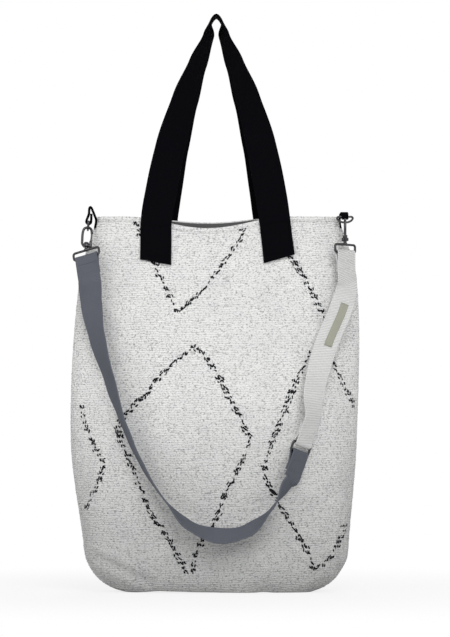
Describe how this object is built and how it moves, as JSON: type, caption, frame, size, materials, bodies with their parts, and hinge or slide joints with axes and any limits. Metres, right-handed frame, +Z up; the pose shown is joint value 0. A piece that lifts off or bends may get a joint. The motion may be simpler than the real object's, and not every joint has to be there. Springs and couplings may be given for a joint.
{
  "type": "woven wool tote bag",
  "caption": "Soft woven tote bag with a dark diamond lattice, two webbing hand straps and a clip-on shoulder strap on swivel snap hooks.",
  "frame": {"origin": "centre of the flat base, where the bag stands", "axes": "+Z up through the hand straps, -Y out of the front, with the shoulder strap on it, +X to the right of the front"},
  "size_m": [0.3666, 0.1544, 0.7308],
  "materials": {
    "wool_cloth": "thick handwoven wool, ribbed and matt",
    "black_yarn": "matt wool yarn floats",
    "lining_cloth": "plain woven cotton, matt",
    "black_webbing": "matt woven webbing",
    "grey_canvas": "canvas, matt",
    "white_webbing": "ribbed cotton webbing",
    "label_cloth": "plain olive tape",
    "dark_nickel": "polished dark nickel plate"
  },
  "bodies": {
    "bag": {"front_panel": "wool_cloth", "back_panel": "wool_cloth", "lining": "lining_cloth", "front_upper_line": "black_yarn", "front_diamond_left_line": "black_yarn", "front_diamond_right_line": "black_yarn", "front_right_line": "black_yarn", "front_left_line": "black_yarn", "back_upper_line": "black_yarn", "back_diamond_left_line": "black_yarn", "back_diamond_right_line": "black_yarn", "back_right_line": "black_yarn", "back_left_line": "black_yarn", "handle_front": "black_webbing", "handle_back": "black_webbing", "tab_left": "black_webbing", "tab_right": "black_webbing"},
    "ring_left": {"dring_left": "dark_nickel"},
    "ring_right": {"dring_right": "dark_nickel"},
    "strap": {"strap_grey": "grey_canvas", "strap_white": "white_webbing", "strap_label": "label_cloth", "rectangular_ring": "dark_nickel", "strap_eye_left": "dark_nickel", "strap_eye_right": "dark_nickel"},
    "hook_left": {"claw_left": "dark_nickel", "gate_pin_left": "dark_nickel", "gate_spring_left": "dark_nickel"},
    "hook_right": {"claw_right": "dark_nickel", "gate_pin_right": "dark_nickel", "gate_spring_right": "dark_nickel"},
    "gate_left": {"gate_left": "dark_nickel"},
    "gate_right": {"gate_right": "dark_nickel"}
  },
  "joints": [
    {"name": "strap_lift", "type": "hinge", "parent": "bag", "child": "strap", "pos_m": [-0.16015, -0.005, 0.46151], "axis": [-0.9989, 0.0419, -0.0188], "range_deg": [0, 80]},
    {"name": "ring_left_swing", "type": "hinge", "parent": "bag", "child": "ring_left", "pos_m": [-0.159, -0.005, 0.469], "axis": [0, 1, 0], "range_deg": [0, 4]},
    {"name": "ring_right_swing", "type": "hinge", "parent": "bag", "child": "ring_right", "pos_m": [0.166, -0.0105, 0.475], "axis": [1, 0, 0], "range_deg": [-2.5, 0]},
    {"name": "swivel_left", "type": "hinge", "parent": "strap", "child": "hook_left", "pos_m": [-0.16015, -0.005, 0.46151], "axis": [0.0698, 0.3737, 0.9249], "range_deg": [-20, 20]},
    {"name": "swivel_right", "type": "hinge", "parent": "strap", "child": "hook_right", "pos_m": [0.166, -0.01868, 0.47109], "axis": [0, 0.0698, 0.9976], "range_deg": [-20, 20]},
    {"name": "gate_left_open", "type": "hinge", "parent": "hook_left", "child": "gate_left", "pos_m": [-0.15624, -0.01276, 0.4423], "axis": [0, 0.9272, -0.3746], "range_deg": [-25, 0], "stiffness_Nm_per_rad": 0.02, "springref_deg": 17.19},
    {"name": "gate_right_open", "type": "hinge", "parent": "hook_right", "child": "gate_right", "pos_m": [0.166, -0.01476, 0.45037], "axis": [-1, 0, 0], "range_deg": [-25, 0], "stiffness_Nm_per_rad": 0.02, "springref_deg": 17.19}
  ]
}
